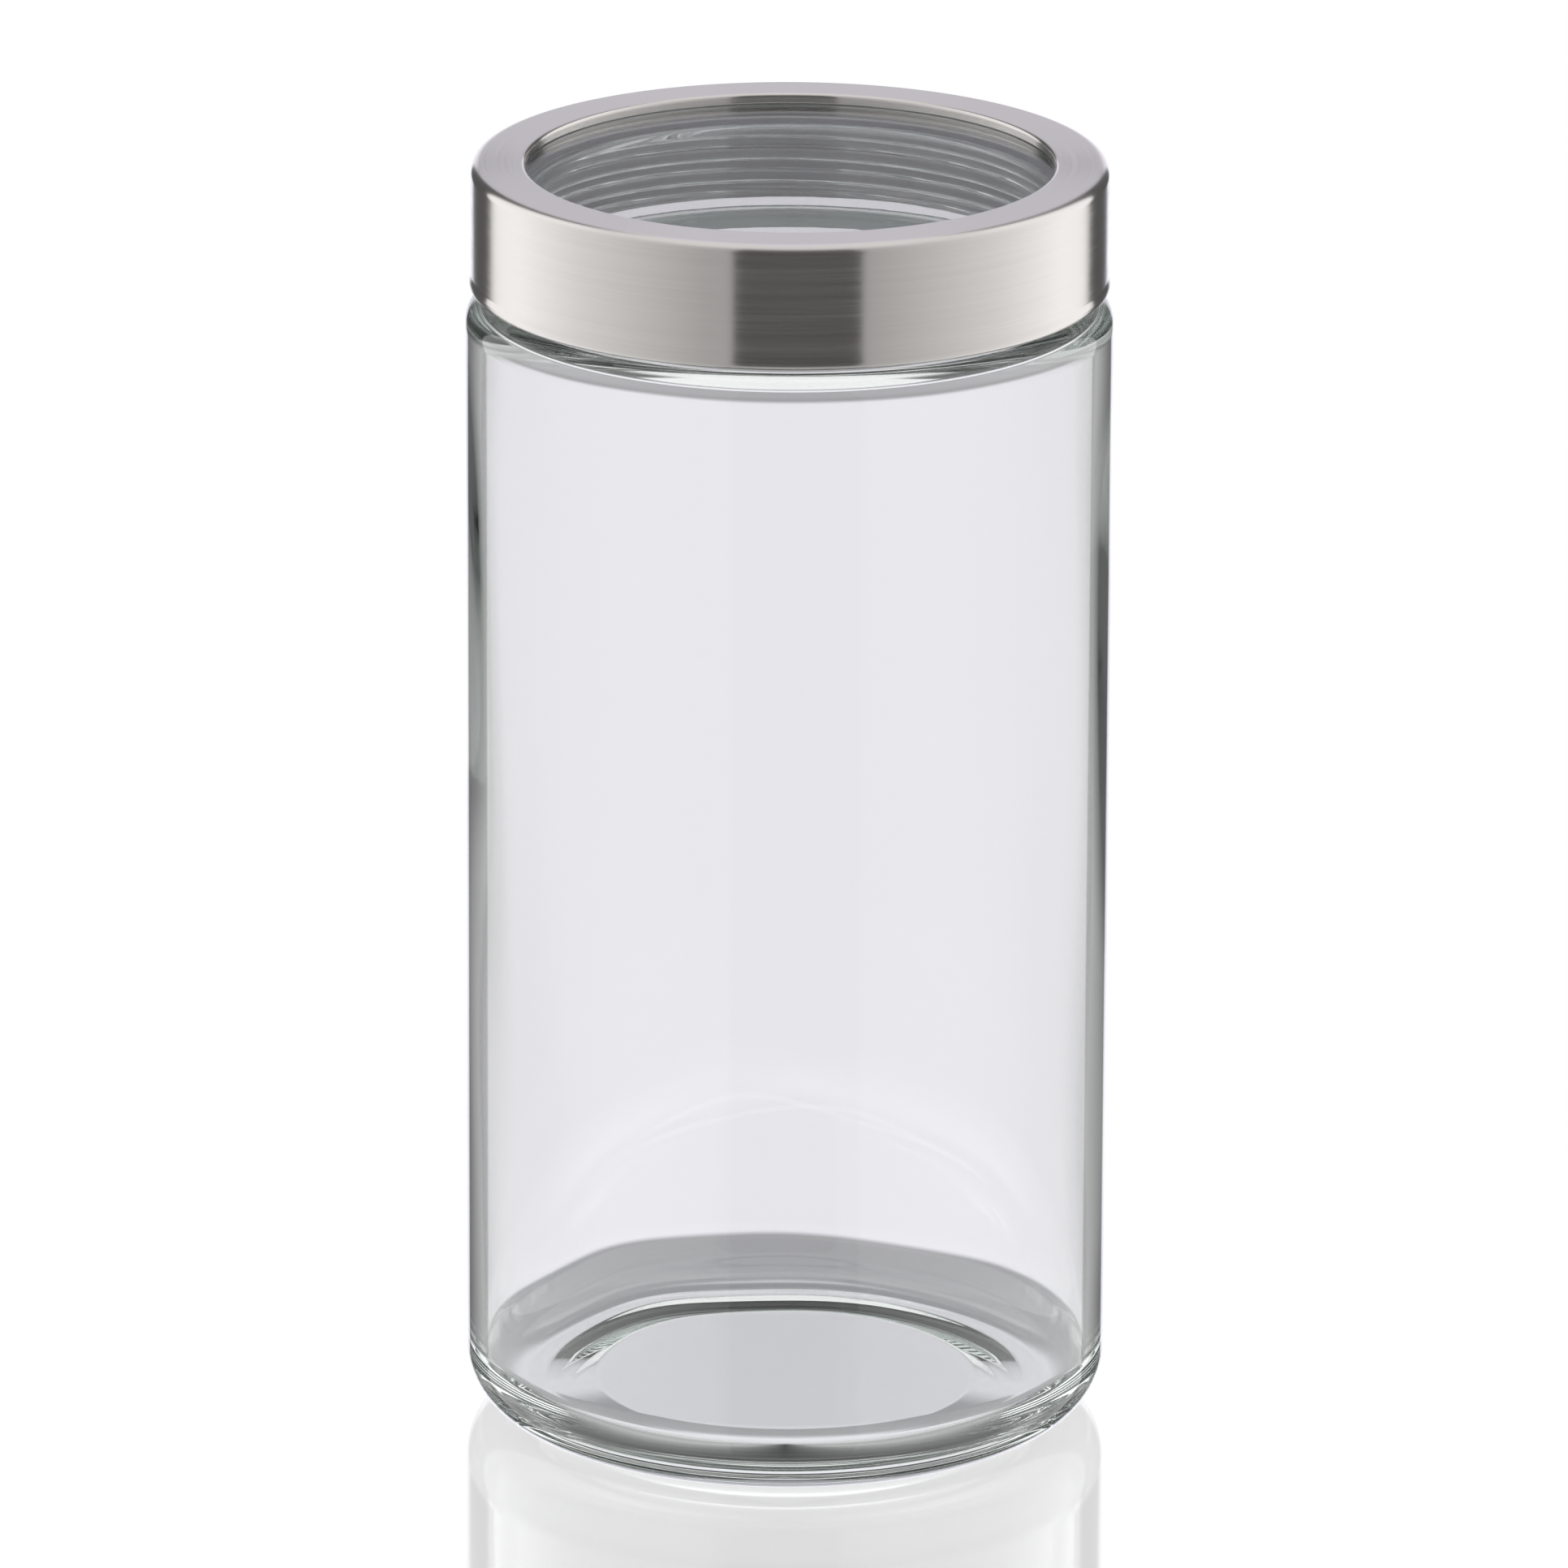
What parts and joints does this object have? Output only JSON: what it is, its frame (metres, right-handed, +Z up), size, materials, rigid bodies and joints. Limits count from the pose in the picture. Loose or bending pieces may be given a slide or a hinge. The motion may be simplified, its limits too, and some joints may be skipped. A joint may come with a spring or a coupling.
{
  "type": "lidded glass canister",
  "caption": "Cylindrical clear glass storage canister with a screw lid: brushed steel band, clear window and inner threaded ring with a seal.",
  "frame": {"origin": "centre of the ring that the jar stands on, on the standing plane", "axes": "+Z up along the jar's axis, towards the lid; X and Y level"},
  "size_m": [0.11, 0.11, 0.221],
  "materials": {
    "clear_glass": "clear soda-lime glass, smooth, faint green in the thick base",
    "brushed_steel": "satin stainless, brushed round the band",
    "window_clear": "clear polished disc",
    "ring_plastic": "clear moulded plastic",
    "seal_silicone": "translucent silicone"
  },
  "bodies": {
    "jar": {"glass_jar": "clear_glass"},
    "seal": {"lid_seal": "seal_silicone"},
    "lid": {"lid_band": "brushed_steel", "lid_window": "window_clear", "thread_ring": "ring_plastic"}
  },
  "joints": [
    {"name": "lid_rise", "type": "slide", "parent": "jar", "child": "seal", "axis": [0, 0, 1], "range_m": [0, 0.02]},
    {"name": "lid_turn", "type": "hinge", "parent": "seal", "child": "lid", "pos_m": [0, 0, 0.2148], "axis": [0, 0, 1], "range_deg": [0, 1800]}
  ],
  "couplings": [
    {"joint": "lid_rise", "follows": "lid_turn", "m_per_rad": 0.0006366}
  ]
}
